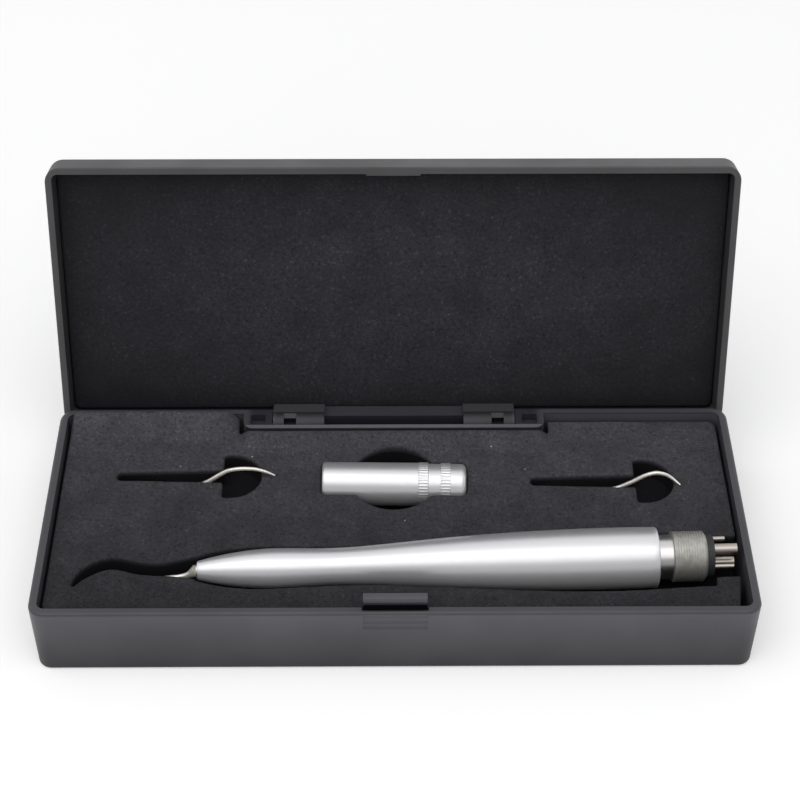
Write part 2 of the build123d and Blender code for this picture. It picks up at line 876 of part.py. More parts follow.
manifold_front = rear_bore_at - manifold_spigot
manifold_back = rear_bore_at + manifold_flange
with BuildPart() as air_manifold:
    tube(handpiece, manifold_front, rear_bore_at, middle_bore)
    tube(handpiece, rear_bore_at, manifold_back, rear_bore)
    with BuildSketch(across(handpiece, manifold_front)):
        Circle(water_line_radius)
        with Locations(large_spots[0]):
            Circle(large_tube_bore)
    extrude(amount=manifold_back - manifold_front, mode=Mode.SUBTRACT)
keep(air_manifold, "air_manifold")

with BuildPart() as drive_air_line:
    with BuildSketch(across(handpiece, manifold_back)):
        with Locations(large_spots[0]):
            Circle(large_tube_radius)
            Circle(large_tube_bore, mode=Mode.SUBTRACT)
    extrude(amount=connector_front - manifold_back)
keep(drive_air_line, "drive_air_line")

with BuildPart() as water_line:
    line_side, line_up = small_spots[0]
    with BuildLine():
        route = [
            (connector_front, line_up, -line_side),
            (connector_front - line_lead, line_up, -line_side),
            (manifold_back + line_lead, 0, 0),
            (shaft_end - shaft_entry, 0, 0),
        ]
        FilletPolyline(
            *[handpiece.from_local_coords(Vector(*point)) for point in route],
            radius=4 * water_line_radius,
        )
    with BuildSketch(across(handpiece, connector_front)):
        with Locations(small_spots[0]):
            Circle(water_line_radius)
    sweep()
keep(water_line, "water_line")

with BuildPart() as hose_connector:
    tube(handpiece, connector_front, sleeve_length, rear_bore)
    tube(handpiece, sleeve_length, neck_end, neck_radius)
    tube(handpiece, neck_end, thread_end, thread_core_radius)
    passages(connector_front, thread_end, large_tube_bore, small_tube_bore)
    passages(thread_end - tube_inset, thread_end, large_tube_radius, small_tube_radius)
    seal_at = connector_front + seal_setback
    seal_end = seal_at + seal_width
    tube(handpiece, seal_at, seal_end, rear_bore + over, rear_bore - seal_depth, Mode.SUBTRACT)
keep(hose_connector, "hose_connector")

with BuildPart() as connector_seal:
    tube(handpiece, seal_at, seal_end, rear_bore, rear_bore - seal_depth)
keep(connector_seal, "connector_seal")

with BuildPart() as thread_ring:
    tube(handpiece, neck_end, thread_end, thread_radius, thread_core_radius)
    chamfer(end_rim(thread_ring, handpiece, -1), thread_chamfer)
keep(thread_ring, "thread_ring")

gasket_end = thread_end + gasket_thickness
with BuildPart() as rear_gasket:
    tube(handpiece, thread_end, gasket_end, gasket_radius)
    passages(thread_end, gasket_end, large_tube_radius, small_tube_radius)
keep(rear_gasket, "rear_gasket")

stubs = (
    ("drive_air_tube", large_spots[0], large_tube_radius, large_tube_bore, large_tube_stand),
    ("exhaust_tube", large_spots[1], large_tube_radius, large_tube_bore, large_tube_stand),
    ("water_tube", small_spots[0], small_tube_radius, small_tube_bore, small_tube_stand),
    ("chip_air_tube", small_spots[1], small_tube_radius, small_tube_bore, chip_tube_stand),
)
for name, spot, outer, bore, stand in stubs:
    with BuildPart() as stub:
        with BuildSketch(across(handpiece, thread_end - tube_inset)):
            with Locations(spot):
                Circle(outer)
                Circle(bore, mode=Mode.SUBTRACT)
        extrude(amount=tube_inset + gasket_thickness + stand)
    keep(stub, name)

# ---- tips ------------------------------------------------------------------------------
with BuildPart() as fitted_tip:
    turned(
        handpiece,
        [
            (tip_seat + tip_stud, 0),
            (tip_seat + tip_stud, shaft_bore),
            (tip_seat, shaft_bore),
            (tip_seat, shaft_neck_radius),
            (tip_seat - tip_cone, tip_root_radius),
            (tip_seat - tip_cone, 0),
        ],
    )
    tapered_blade(
        [
            handpiece.from_local_coords(Vector(*point))
            for point in [(tip_seat - tip_cone + blade_overlap, 0, 0)] + fitted_blade
        ],
        tip_root_radius,
        tip_point_radius,
    )
keep(fitted_tip, "fitted_tip")


def spare_tip(name, hub_x, slot_y, blade):
    """A spare tip in its slot: threaded stud, flatted hub and an arched, tapering blade."""
    frame = axis_frame(hub_x, slot_y, foam_top - spare_depth, 0)
    with BuildPart() as tip:
        tube(frame, -tip_stud, 0, shaft_bore)
        tube(frame, 0, spare_hub_length, spare_hub_radius)
        for side in (-1, 1):
            with BuildSketch(across(frame, spare_flat_margin)):
                with Locations((side * (spare_flat + spare_hub_radius), 0)):
                    Rectangle(2 * spare_hub_radius, 4 * spare_hub_radius)
            extrude(amount=spare_hub_length - 2 * spare_flat_margin, mode=Mode.SUBTRACT)
        points = [(spare_hub_length - blade_overlap, 0, 0)]
        points += [(u + spare_hub_length, h, side) for u, h, side in blade]
        tapered_blade(
            [frame.from_local_coords(Vector(*point)) for point in points],
            spare_root_radius,
            tip_point_radius,
        )
    keep(tip, name)


spare_tip("spare_tip_left", left_hole[0] - left_tip_back, left_hole[1], left_blade)
spare_tip("spare_tip_right", right_hole[0] - right_tip_back, right_hole[1], right_blade)

# ---- torque wrench ---------------------------------------------------------------------
bearing_start = wrench_split - clutch_length - bearing_length
clutch_start = wrench_split - clutch_length
with BuildPart() as wrench_sleeve:
    tube(wrench, 0, wrench_split, wrench_radius)
    tube(wrench, wrench_split - knurl_width, wrench_split, wrench_radius + knurl_rise)
    knurl(wrench, wrench_split - knurl_width, wrench_radius + knurl_rise)
    tube(wrench, -over, bearing_start, wrench_mouth, mode=Mode.SUBTRACT)
    bearing_bore = drive_radius + running_gap
    tube(wrench, bearing_start - over, clutch_start + over, bearing_bore, mode=Mode.SUBTRACT)
    tube(wrench, clutch_start, wrench_split + over, wrench_bore, mode=Mode.SUBTRACT)
    chamfer(end_rim(wrench_sleeve, wrench, 0), wrench_edge)
keep(wrench_sleeve, "wrench_sleeve")

plug_start = wrench_split - knob_plug
with BuildPart() as wrench_knob:
    tube(wrench, plug_start, wrench_split, wrench_bore)
    tube(wrench, wrench_split, wrench_length, knob_radius)
    tube(wrench, wrench_split + knob_neck, wrench_split + knob_neck + knurl_width, wrench_radius)
    knurl(wrench, wrench_split + knob_neck, wrench_radius)
    chamfer(end_rim(wrench_knob, wrench, -1), knob_chamfer)
    tube(
        wrench,
        plug_start - over,
        plug_start + stub_reach + over,
        drive_stub_radius + running_gap,
        mode=Mode.SUBTRACT,
    )
keep(wrench_knob, "wrench_knob")

flange_at = clutch_start + friction_thickness + running_gap
flange_end = flange_at + drive_flange
with BuildPart() as drive_core:
    tube(wrench, bearing_start + drive_setback, flange_at, drive_radius)
    tube(wrench, flange_at, flange_end, wrench_bore - ring_gap)
    tube(wrench, flange_end, plug_start + stub_reach, drive_stub_radius)
    with BuildSketch(across(wrench, bearing_start)):
        RegularPolygon(socket_flats / 2, 6, major_radius=False)
    extrude(amount=socket_depth, mode=Mode.SUBTRACT)
keep(drive_core, "drive_core")

with BuildPart() as friction_rings:
    tube(wrench, clutch_start, clutch_start + friction_thickness, wrench_bore, drive_radius + ring_gap)
    rear_ring = flange_end + running_gap
    tube(wrench, rear_ring, rear_ring + friction_thickness, wrench_bore, drive_stub_radius + stub_gap)
keep(friction_rings, "friction_rings")

with BuildPart() as disc_springs:
    spring_start = rear_ring + friction_thickness
    spring_room = plug_start - spring_start
    dish = spring_room / spring_count - spring_thickness
    for i in range(spring_count):
        left = spring_start + i * (spring_thickness + dish)
        inner_shift, outer_shift = (0, dish) if i % 2 == 0 else (dish, 0)
        turned(
            wrench,
            [
                (left + inner_shift, drive_stub_radius + stub_gap),
                (left + inner_shift + spring_thickness, drive_stub_radius + stub_gap),
                (left + outer_shift + spring_thickness, wrench_bore - 2 * ring_gap),
                (left + outer_shift, wrench_bore - 2 * ring_gap),
            ],
        )
keep(disc_springs, "disc_springs")
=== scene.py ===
"""Air-driven dental scaler in its open case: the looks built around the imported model.

Everything is in metres, in the model's own frame: +X runs along the handpiece to its hose
end, +Y from the snap catch to the hinge, +Z up, with the case standing on z = 0.
"""
import json
from math import cos, pi, radians, sin

import bmesh
import bpy
from mathutils import Matrix, Vector, noise


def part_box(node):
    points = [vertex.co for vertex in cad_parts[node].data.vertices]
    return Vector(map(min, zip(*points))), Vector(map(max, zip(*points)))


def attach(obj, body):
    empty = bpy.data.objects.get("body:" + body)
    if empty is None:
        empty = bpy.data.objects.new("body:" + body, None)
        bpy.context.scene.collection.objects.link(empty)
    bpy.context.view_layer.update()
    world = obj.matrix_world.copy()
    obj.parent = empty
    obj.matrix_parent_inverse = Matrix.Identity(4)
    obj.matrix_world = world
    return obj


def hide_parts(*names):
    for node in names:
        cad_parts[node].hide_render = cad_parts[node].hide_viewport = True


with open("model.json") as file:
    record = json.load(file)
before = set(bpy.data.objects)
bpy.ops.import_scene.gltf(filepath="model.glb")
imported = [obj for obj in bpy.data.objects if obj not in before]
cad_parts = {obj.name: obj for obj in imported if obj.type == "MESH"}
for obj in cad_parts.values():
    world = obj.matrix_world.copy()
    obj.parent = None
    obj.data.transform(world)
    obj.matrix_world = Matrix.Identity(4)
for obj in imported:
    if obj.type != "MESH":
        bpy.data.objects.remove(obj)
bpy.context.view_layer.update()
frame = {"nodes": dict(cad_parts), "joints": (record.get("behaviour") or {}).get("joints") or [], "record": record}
nodes = frame["nodes"]
joints = {joint["name"]: joint for joint in frame["joints"]}
scene = bpy.context.scene

MM = 0.001

# ---- camera ---------------------------------------------------------------------------
CAMERA_AT = Vector((-2.58, -404.0, 427.3)) * MM
CAMERA_PITCH = radians(42.0)
CAMERA_YAW = radians(0.573)
CAMERA_ROLL = radians(0.207)
CAMERA_LENS = 89.8
SENSOR_WIDTH = 36.0

# ---- colours, linear; the rows of factors among them paint shade or highlight onto these colours ---
BASE_PLASTIC = (0.064, 0.0625, 0.073)
BASE_WORN = (0.077, 0.075, 0.087)
BASE_LOW_SHADE = (0.05, 0.04, 0.07)
RIM_SHADE = (0.70, 0.70, 0.70)
RAIL_HIGHLIGHT = (2.4, 2.4, 2.4)
LID_PLASTIC = (0.046, 0.0458, 0.049)
LID_WORN = (0.056, 0.0557, 0.059)
HINGE_SHADE = (0.40, 0.38, 0.46)
LUG_SHADE = (0.24, 0.23, 0.30)
BEAM_SHADE = (0.95, 0.93, 1.05)
TRAY_SHADE = (0.15, 0.15, 0.16)
RAIL_SHADE = (0.30, 0.30, 0.32)
SLOT_SHADE = (0.05, 0.05, 0.06)
FOAM_CELL = (0.068, 0.066, 0.076)
FOAM_PORE = (0.020, 0.0195, 0.023)
FOAM_LIGHT = (0.150, 0.147, 0.160)
FOAM_FRONT_SHADE = (0.42, 0.42, 0.42)
# near-black for the painted shade down the insert's cut walls
FOAM_POCKET_SHADE = (0.0060, 0.0059, 0.0075)
LINT = (0.50, 0.49, 0.48)
# the lid's sheet is the insert's foam in darker colours, as painted shade
LID_FOAM_CELL = (0.030, 0.0285, 0.034)
LID_FOAM_PORE = (0.010, 0.0098, 0.012)
LID_FOAM_LIGHT = (0.085, 0.083, 0.092)
SATIN_STEEL = (0.72, 0.72, 0.74)
TURNED_STEEL = (0.62, 0.61, 0.60)
TUBE_STEEL = (0.44, 0.40, 0.36)
TIP_STEEL = (0.80, 0.77, 0.71)
PLATED = (0.40, 0.395, 0.37)
PLATED_STAIN = (0.29, 0.285, 0.26)
BUSH_BRASS = (0.55, 0.42, 0.20)
RUBBER = (0.016, 0.016, 0.018)
LINE_PLASTIC = (0.70, 0.69, 0.65)
FLOOR = (0.92, 0.92, 0.925)
FLOOR_GLOW = 0.22


# ---- places in the case that the plastic's shades follow --------------------------------
HINGE_AT = Vector(joints["lid_hinge"]["pos_m"])
BASE_HEIGHT = 23 * MM
EAR_END = 44.4 * MM
RAIL_END = 46 * MM
LUG_END = 37 * MM
BEAM_END = 20.8 * MM
TAB_SLOT = 9.3 * MM


# ---- small helpers for node trees -------------------------------------------------------
def new_material(name, colour, roughness, metallic=0.0):
    """A material with a Principled shader; returns the material, its tree and the shader."""
    material = bpy.data.materials.new(name)
    material.use_nodes = True
    tree = material.node_tree
    shader = tree.nodes["Principled BSDF"]
    shader.inputs["Base Color"].default_value = (*colour, 1)
    shader.inputs["Roughness"].default_value = roughness
    shader.inputs["Metallic"].default_value = metallic
    return material, tree, shader


def add(tree, kind, **values):
    """A new node of that kind with some of its inputs set, by name with _ for a space."""
    node = tree.nodes.new(kind)
    for name, value in values.items():
        node.inputs[name.replace("_", " ")].default_value = value
    return node


def stretched(tree, x=1.0, y=1.0, z=1.0):
    """The object's own coordinates, in metres, stretched along each axis."""
    place = tree.nodes.new("ShaderNodeTexCoord")
    mapping = tree.nodes.new("ShaderNodeMapping")
    mapping.inputs["Scale"].default_value = (x, y, z)
    tree.links.new(place.outputs["Object"], mapping.inputs["Vector"])
    return mapping.outputs["Vector"]


def grain(tree, point, size, detail=2.0, roughness=0.5):
    """Noise whose features are about that many metres across."""
    node = add(tree, "ShaderNodeTexNoise", Scale=1 / size, Detail=detail, Roughness=roughness)
    tree.links.new(point, node.inputs["Vector"])
    return node.outputs["Fac"]


def cells(tree, point, size):
    """The distance from the middles of cells about that many metres across."""
    node = add(tree, "ShaderNodeTexVoronoi", Scale=1 / size)
    tree.links.new(point, node.inputs["Vector"])
    return node.outputs["Distance"]


def ramp(tree, value, *stops):
    """A colour ramp over value; stops are (position, colour)."""
    node = tree.nodes.new("ShaderNodeValToRGB")
    elements = node.color_ramp.elements
    while len(elements) < len(stops):
        elements.new(0.5)
    for element, (position, colour) in zip(elements, stops):
        element.position = position
        element.color = (*colour, 1)
    tree.links.new(value, node.inputs["Fac"])
    return node.outputs["Color"]


def blended(tree, share, low, high):
    """The colour low where share is 0 and high where it is 1."""
    node = tree.nodes.new("ShaderNodeMix")
    node.data_type = "RGBA"
    for socket, colour in ((node.inputs[6], low), (node.inputs[7], high)):
        if isinstance(colour, tuple):
            socket.default_value = (*colour, 1)
        else:
            tree.links.new(colour, socket)
    tree.links.new(share, node.inputs[0])
    return node.outputs[2]


def ranged(tree, value, low, high, start=0.0, end=1.0):
    """value, where it runs from start to end, mapped onto low to high."""
    node = add(tree, "ShaderNodeMapRange")
    for name, number in (("From Min", start), ("From Max", end), ("To Min", low), ("To Max", high)):
        node.inputs[name].default_value = number
    tree.links.new(value, node.inputs["Value"])
    return node.outputs["Result"]


def bumped(tree, shader, height, distance, strength=1.0, under=None):
    """Relief of that depth in metres on the shader's normal, over an earlier one if given."""
    node = add(tree, "ShaderNodeBump", Strength=strength, Distance=distance)
    tree.links.new(height, node.inputs["Height"])
    if under is not None:
        tree.links.new(under, node.inputs["Normal"])
    tree.links.new(node.outputs["Normal"], shader.inputs["Normal"])
    return node.outputs["Normal"]


# ---- materials --------------------------------------------------------------------------
def xyz(tree, vector):
    """The X, Y and Z of a vector."""
    split = tree.nodes.new("ShaderNodeSeparateXYZ")
    tree.links.new(vector, split.inputs["Vector"])
    return split.outputs


def largest(tree, first, *others):
    """The largest of some numbers."""
    for other in others:
        either = tree.nodes.new("ShaderNodeMath")
        either.operation = "MAXIMUM"
        tree.links.new(first, either.inputs[0])
        tree.links.new(other, either.inputs[1])
        first = either.outputs[0]
    return first


def dimmed(tree, share, colour, factor):
    """colour times factor where share is 1, and unchanged where it is 0."""
    node = tree.nodes.new("ShaderNodeMix")
    node.data_type = "RGBA"
    node.blend_type = "MULTIPLY"
    node.inputs[7].default_value = (*factor, 1)
    tree.links.new(share, node.inputs[0])
    tree.links.new(colour, node.inputs[6])
    return node.outputs[2]


def inside(tree, point, low, high):
    """1 inside a box given by two corners, softly 0 outside it."""
    place = tree.nodes.new("ShaderNodeMapping")
    place.vector_type = "TEXTURE"
    place.inputs["Location"].default_value = (Vector(low) + Vector(high)) / 2
    place.inputs["Scale"].default_value = (Vector(high) - Vector(low)) / 2
    tree.links.new(point, place.inputs["Vector"])
    size = tree.nodes.new("ShaderNodeVectorMath")
    size.operation = "ABSOLUTE"
    tree.links.new(place.outputs["Vector"], size.inputs[0])
    worst = largest(tree, *xyz(tree, size.outputs["Vector"]))
    return ranged(tree, worst, 1, 0, 0.95, 1.0)


def moulded_plastic(name, fresh, worn, low_shade, patches):
    """Dark ABS with a fine spark-eroded grain, smudged by handling, with painted shade towards the table.

    patches are boxes, each with the factor that the colour takes inside it, a painted shade or highlight.
    """
    material, tree, shader = new_material(name, fresh, 0.5)
    point = stretched(tree)
    smudge = grain(tree, point, 22 * MM, detail=3)
    colour = blended(tree, ranged(tree, smudge, 0, 1, 0.35, 0.75), fresh, worn)
    # painted shade: the colour darkens towards the table
    low = ranged(tree, xyz(tree, point)["Z"], 1, 0, 0, BASE_HEIGHT)
    colour = dimmed(tree, low, colour, low_shade)
    for corner_low, corner_high, shade in patches:
        colour = dimmed(tree, inside(tree, point, corner_low, corner_high), colour, shade)
    tree.links.new(colour, shader.inputs["Base Color"])
    tree.links.new(ranged(tree, smudge, 0.54, 0.42, 0.3, 0.7), shader.inputs["Roughness"])
    bumped(tree, shader, grain(tree, point, 0.28 * MM, detail=2), 0.012 * MM, 0.6)
    return material


def patch(low, high, shade):
    """A box with its shade, as wide to the left of the middle as to the right."""
    return (-low[0], *low[1:]), high, shade


def base_plastic():
    """The base's plastic: painted shade in the hinge's recess and in the slot before the snap tab.

    Painted shade makes the rim a little darker than the walls. The rail before the hinge has a
    painted highlight on top and painted shade on its front.
    """
    back = HINGE_AT.y + 8 * MM
    # the patches are painted shade, and on the rail's top a painted highlight
    recess = patch((EAR_END, HINGE_AT.y - 4.9 * MM, 0), (EAR_END, back, 50 * MM), HINGE_SHADE)
    slot = patch((TAB_SLOT, -40.6 * MM, 14 * MM), (TAB_SLOT, -38.2 * MM, 23.4 * MM), SLOT_SHADE)
    top = BASE_HEIGHT
    rim = patch((0.2, -0.2, top - 0.7 * MM), (0.2, 0.2, top + 1 * MM), RIM_SHADE)
    rail_low = (RAIL_END, HINGE_AT.y - 6.4 * MM, top - 0.15 * MM)
    rail_highlight = patch(rail_low, (RAIL_END, HINGE_AT.y - 4.8 * MM, top + 1 * MM), RAIL_HIGHLIGHT)
    front_low = (RAIL_END, HINGE_AT.y - 6.6 * MM, 0)
    front = patch(front_low, (RAIL_END, HINGE_AT.y - 4.9 * MM, top - 0.1 * MM), RAIL_SHADE)
    patches = (recess, slot, rim, rail_highlight, front)
    return moulded_plastic("base_plastic", BASE_PLASTIC, BASE_WORN, BASE_LOW_SHADE, patches)


def lid_plastic():
    """The lid's plastic, with painted shade on its hinge lugs, inside its walls and faintly on the beam."""
    y, back = HINGE_AT.y, HINGE_AT.y + 8 * MM
    lugs = patch((LUG_END, y - 5.5 * MM, 0), (LUG_END, y + 0.8 * MM, 24 * MM), LUG_SHADE)
    beam = patch((BEAM_END, y - 2 * MM, 0), (BEAM_END, back, 27 * MM), BEAM_SHADE)
    low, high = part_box("lid_foam")
    margin = Vector((1.5, 0.5, 1.5)) * MM
    patches = (lugs, beam, (low - margin, high + margin, TRAY_SHADE))
    return moulded_plastic("lid_plastic", LID_PLASTIC, LID_WORN, (1, 1, 1), patches)


def foam(name, cell, pore, light, specks):
    """Closed-cell foam: a dull skin of fine cells, pricked with pores and flecked with lint."""
    material, tree, shader = new_material(name, cell, 0.95)
    shader.inputs["Specular IOR Level"].default_value = 0.2
    point = stretched(tree)
    fine = grain(tree, point, 1.0 * MM, detail=4, roughness=0.8)
    blotch = grain(tree, point, 11 * MM, detail=3)
    pores = cells(tree, point, 1.1 * MM)
    colour = ramp(tree, fine, (0.32, pore), (0.46, cell), (0.56, cell), (0.72, light))
    shade = blended(tree, ranged(tree, blotch, 0, 0.4, 0.35, 0.7), colour, pore)
    colour = blended(tree, ranged(tree, pores, 0.8, 0, 0.06, 0.3), shade, pore)
    for size, reach, strength in specks:
        dot = ranged(tree, cells(tree, point, size), strength, 0, reach / size, 2 * reach / size)
        colour = blended(tree, dot, colour, LINT)
    under = bumped(tree, shader, fine, 0.10 * MM, 0.7)
    bumped(tree, shader, pores, 0.12 * MM, 0.5, under)
    return material, tree, shader, point, colour


def base_foam():
    """The insert's foam: painted shade darkens it towards the front and nearly blacks its cut walls."""
    specks = ((9 * MM, 0.16 * MM, 1.0), (3.4 * MM, 0.10 * MM, 0.30))
    material, tree, shader, point, colour = foam(
        "speckled_foam", FOAM_CELL, FOAM_PORE, FOAM_LIGHT, specks
    )
    low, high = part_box("base_foam")
    place = xyz(tree, point)
    # painted shade, darker towards the front of the insert
    front_shade = ranged(tree, place["Y"], 1, 0, low.y, high.y)
    colour = dimmed(tree, front_shade, colour, FOAM_FRONT_SHADE)
    # painted shade, nearly black down the cut walls below the top
    pocket_shade = ranged(tree, place["Z"], 1, 0, high.z - 2.0 * MM, high.z - 0.3 * MM)
    tree.links.new(blended(tree, pocket_shade, colour, FOAM_POCKET_SHADE), shader.inputs["Base Color"])
    return material


def lid_foam():
    """The lid's sheet: painted shade makes it darker than the insert and darker still towards its edges."""
    specks = ((5 * MM, 0.10 * MM, 0.22),)
    material, tree, shader, point, colour = foam(
        "shaded_lid_foam", LID_FOAM_CELL, LID_FOAM_PORE, LID_FOAM_LIGHT, specks
    )
    low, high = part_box("lid_foam")
    middle = (low + high) / 2
    half = (high - low) / 2
    # the reach from the middle is measured across and up the sheet, hardly in its depth
    place = tree.nodes.new("ShaderNodeMapping")
    place.vector_type = "TEXTURE"
    place.inputs["Location"].default_value = middle
    place.inputs["Scale"].default_value = (half.x, 10 * half.x, half.z)
    tree.links.new(point, place.inputs["Vector"])
    reach = tree.nodes.new("ShaderNodeVectorMath")
    reach.operation = "LENGTH"
    tree.links.new(place.outputs["Vector"], reach.inputs[0])
    # painted shade, darker towards the sheet's edges
    edge = ranged(tree, reach.outputs["Value"], 0, 0.72, 0.45, 1.15)
    tree.links.new(blended(tree, edge, colour, LID_FOAM_PORE), shader.inputs["Base Color"])
    return material


def satin_metal(name, colour, roughness, metallic=1.0):
    """Fine-blasted metal: its roughness varies in faint rings round its axis and in clouds."""
    material, tree, shader = new_material(name, colour, roughness, metallic)
    rings = grain(tree, stretched(tree, 1.0, 0.06, 0.06), 0.8 * MM, detail=2)
    cloud = grain(tree, stretched(tree), 5 * MM, detail=3)
    both = tree.nodes.new("ShaderNodeMath")
    both.operation = "ADD"
    tree.links.new(rings, both.inputs[0])
    tree.links.new(cloud, both.inputs[1])
    varied = ranged(tree, both.outputs[0], roughness - 0.03, roughness + 0.03, 0.7, 1.3)
    tree.links.new(varied, shader.inputs["Roughness"])
    return material


def stained_plating():
    """Dull nickel plating on the threaded end, with darker stains in patches."""
    material, tree, shader = new_material("dull_plating", PLATED, 0.5, metallic=0.8)
    point = stretched(tree)
    stain = grain(tree, point, 2.2 * MM, detail=4, roughness=0.65)
    tree.links.new(
        blended(tree, ranged(tree, stain, 0, 1, 0.45, 0.75), PLATED, PLATED_STAIN),
        shader.inputs["Base Color"],
    )
    tree.links.new(ranged(tree, stain, 0.44, 0.56, 0.3, 0.7), shader.inputs["Roughness"])
    return material


def plain(name, colour, roughness, metallic=0.0):
    """A simple material for small and inner pieces, with a fine grain of its own."""
    material, tree, shader = new_material(name, colour, roughness, metallic)
    fine = grain(tree, stretched(tree), 0.3 * MM, detail=2)
    varied = ranged(tree, fine, roughness - 0.06, roughness + 0.06)
    tree.links.new(varied, shader.inputs["Roughness"])
    bumped(tree, shader, fine, 0.01 * MM, 0.5)
    return material


MATERIALS = {
    "case_plastic": base_plastic(),
    "lid_plastic": lid_plastic(),
    "base_foam": base_foam(),
    "lid_foam": lid_foam(),
    "satin_steel": satin_metal("satin_steel", SATIN_STEEL, 0.36, metallic=0.7),
    "steel": satin_metal("turned_steel", TURNED_STEEL, 0.32),
    "tube_steel": satin_metal("tube_steel", TUBE_STEEL, 0.34),
    "tip_steel": satin_metal("tip_steel", TIP_STEEL, 0.28, metallic=0.6),
    "plated_brass": stained_plating(),
    "bushing": plain("bush_brass", BUSH_BRASS, 0.35, metallic=1.0),
    "seal_rubber": plain("seal_rubber", RUBBER, 0.6),
    "line_plastic": plain("line_plastic", LINE_PLASTIC, 0.4),
}


def dress(piece, slot):
    """Give a piece its only material."""
    piece.data.materials.clear()
    piece.data.materials.append(MATERIALS[slot])


def dress_nodes():
    """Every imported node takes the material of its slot."""
    for row in frame["record"]["subparts"]:
        dress(nodes[row["node"]], row["material_slot"])
    dress(nodes["case_lid"], "lid_plastic")
    dress(nodes["hose_connector"], "steel")
    for tube in ("drive_air_tube", "exhaust_tube", "water_tube", "chip_air_tube"):
        dress(nodes[tube], "tube_steel")


# ---- meshes ------------------------------------------------------------------------------
def link(name, mesh, slot, body):
    """Put a mesh into the scene as a piece that rides on a body and wears a slot's material."""
    piece = bpy.data.objects.new(name, mesh)
    scene.collection.objects.link(piece)
    dress(piece, slot)
    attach(piece, body)
    return piece


def remeshed(mesh, voxel):
    """The mesh rebuilt as even small quads and smoothed, which rounds its edges by some voxels."""
    holder = bpy.data.objects.new("remesh_holder", mesh)
    scene.collection.objects.link(holder)
    modifier = holder.modifiers.new("even", "REMESH")
    modifier.mode = "VOXEL"
    modifier.voxel_size = voxel
    modifier.use_smooth_shade = True
    soften = holder.modifiers.new("soften", "SMOOTH")
    soften.factor = 0.5
    soften.iterations = FOAM_SMOOTHING
    view = bpy.context.evaluated_depsgraph_get()
    result = bpy.data.meshes.new_from_object(holder.evaluated_get(view))
    bpy.data.objects.remove(holder)
    return result


def smooth_step(value, start, end):
    """0 before start, 1 after end and smooth between."""
    t = min(1.0, max(0.0, (value - start) / (end - start)))
    return t * t * (3 - 2 * t)


def lying_frame(joint):
    """A lying axis as a frame: local X runs along it, local Y to the back and local Z up."""
    along = Vector(joint["axis"]).normalized()
    up = Vector((0, 0, 1))
    place = Matrix((along, up.cross(along), up)).transposed().to_4x4()
    place.translation = Vector(joint["pos_m"])
    return place


HANDPIECE = lying_frame(joints["rotor_spin"])
WRENCH = lying_frame(joints["wrench_slip"])


def curve_through(points, steps):
    """Points along a smooth curve through the given ones, with that many steps in each span."""
    knots = [Vector(point) for point in points]
    path = []
    for i in range(len(knots) - 1):
        before, start, end = knots[max(i - 1, 0)], knots[i], knots[i + 1]
        after = knots[min(i + 2, len(knots) - 1)]
        span = (end - start).length
        leave = (end - before) * span / ((start - before).length + span)
        arrive = (after - start) * span / (span + (after - end).length)
        for step in range(steps):
            t = step / steps
            path.append(
                (1 - 3 * t**2 + 2 * t**3) * start
                + (t - 2 * t**2 + t**3) * leave
                + (3 * t**2 - 2 * t**3) * end
                + (t**3 - t**2) * arrive
            )
    return path + [knots[-1]]


def rounded(at, towards_in, towards_out, radius, steps=5):
    """A square corner of an outline, rounded: points of a quarter arc from one side to the other."""
    points = []
    for step in range(steps + 1):
        turn = pi / 2 * step / steps
        back = radius * (1 - sin(turn))
        on = radius * (1 - cos(turn))
        along = at[0] - back * towards_in[0] + on * towards_out[0]
        out = at[1] - back * towards_in[1] + on * towards_out[1]
        points.append((along, out))
    return points


def skinned(shape, rings, closed=False):
    """Join rings of vertices, all of one length, with quads, and the last to the first if closed."""
    count = len(rings[0])
    following = rings[1:] + rings[:1] if closed else rings[1:]
    for near, far in zip(rings, following):
        for i in range(count):
            j = (i + 1) % count
            shape.faces.new((near[i], far[i], far[j], near[j]))


def turned(shape, place, outline, segments=96, relief=None):
    """Turn a closed outline of (distance, radius) points about the frame's axis.

    relief, where given, returns how much lower the skin lies at a distance and a share of a turn.
    """
    rings = []
    for along, radius in outline:
        ring = []
        for i in range(segments):
            low = relief(along, radius, i / segments) if relief else 0
            angle = 2 * pi * i / segments
            spoke = Vector((along, (radius - low) * cos(angle), (radius - low) * sin(angle)))
            ring.append(shape.verts.new(place @ (spoke * MM)))
        rings.append(ring)
    skinned(shape, rings, closed=True)


def blade(shape, place, points, segments=24, steps=6):
    """A round blade along a smooth curve through (x, y, z, radius) points, closed at both ends."""
    stations = curve_through(points, steps)
    rings = []
    for i, station in enumerate(stations):
        before = stations[max(i - 1, 0)]
        after = stations[min(i + 1, len(stations) - 1)]
        along = (after - before).to_3d().normalized()
        side = along.cross(Vector((0, 0, 1))).normalized()
        rise = side.cross(along)
        ring = []
        for k in range(segments):
            angle = 2 * pi * k / segments
            spoke = station.to_3d() + station.w * (cos(angle) * side + sin(angle) * rise)
            ring.append(shape.verts.new(place @ (spoke * MM)))
        rings.append(ring)
    skinned(shape, rings)
    shape.faces.new(rings[0])
    shape.faces.new(rings[-1][::-1])


def finished(shape, name, crease=35.0):
    """The bmesh as a mesh: shaded smooth, with its sharper edges kept crisp."""
    bmesh.ops.remove_doubles(shape, verts=shape.verts, dist=0.001 * MM)
    bmesh.ops.recalc_face_normals(shape, faces=shape.faces)
    for face in shape.faces:
        face.smooth = True
    for edge in shape.edges:
        edge.smooth = edge.calc_face_angle(0) < radians(crease)
    mesh = bpy.data.meshes.new(name)
    shape.to_mesh(mesh)
    shape.free()
    return mesh


